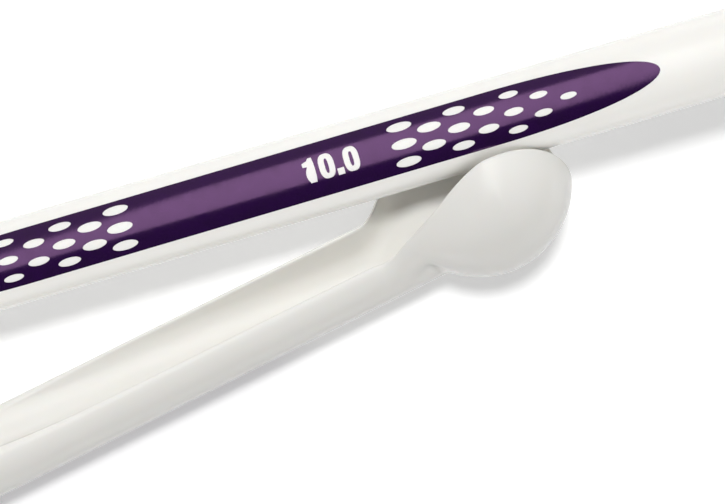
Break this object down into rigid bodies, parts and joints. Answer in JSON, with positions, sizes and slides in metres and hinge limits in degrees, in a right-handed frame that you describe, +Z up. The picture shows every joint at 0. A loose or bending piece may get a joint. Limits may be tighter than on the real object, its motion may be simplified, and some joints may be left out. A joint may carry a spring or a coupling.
{
  "type": "knitting needle pair",
  "caption": "Thick plastic knitting needles with slotted ball heads that clip onto a shaft, a trough along each shaft and a printed size oval, laid one across the other",
  "frame": {"origin": "on the table, under the middle of the bounding box of the pair", "axes": "+Z up from the table, +X along the lower needle towards the heads"},
  "size_m": [0.4004, 0.0728, 0.0257],
  "materials": {
    "white_polymer": "smooth glossy injection-moulded white polymer",
    "purple_print": "glossy dark purple stamped foil"
  },
  "bodies": {
    "lower_needle": {"lower_needle_body": "white_polymer", "lower_needle_print": "purple_print"},
    "upper_needle": {"upper_needle_body": "white_polymer", "upper_needle_print": "purple_print"}
  },
  "joints": [
    {"name": "unclip", "type": "slide", "parent": "lower_needle", "child": "upper_needle", "axis": [-0.0064, 0.6691, 0.7431], "range_m": [0, 0.03]}
  ]
}
